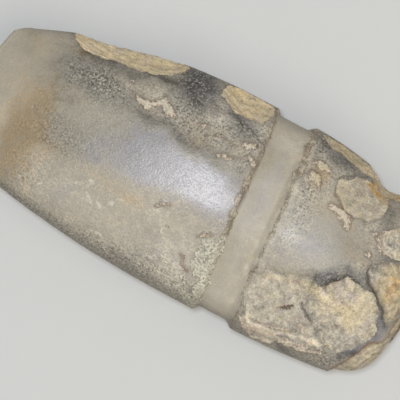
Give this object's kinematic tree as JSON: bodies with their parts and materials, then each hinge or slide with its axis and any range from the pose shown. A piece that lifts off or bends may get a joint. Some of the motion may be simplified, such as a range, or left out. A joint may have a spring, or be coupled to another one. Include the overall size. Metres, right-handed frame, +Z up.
{
  "type": "polished stone axe head",
  "caption": "Ground and polished stone axe head with a full haft groove, a bevelled cutting edge and a chipped blunt poll, lying on one face.",
  "frame": {"origin": "on the ground, under the middle of the head's box", "axes": "+X along the head from the cutting edge to the poll, +Y across the face, +Z up out of the upper face"},
  "size_m": [0.1714, 0.076, 0.0493],
  "materials": {
    "stone": "ground and polished grey-green stone with a satin sheen, cream crust and tan flake scars"
  },
  "bodies": {
    "root": {"axe_head": "stone"}
  },
  "joints": []
}
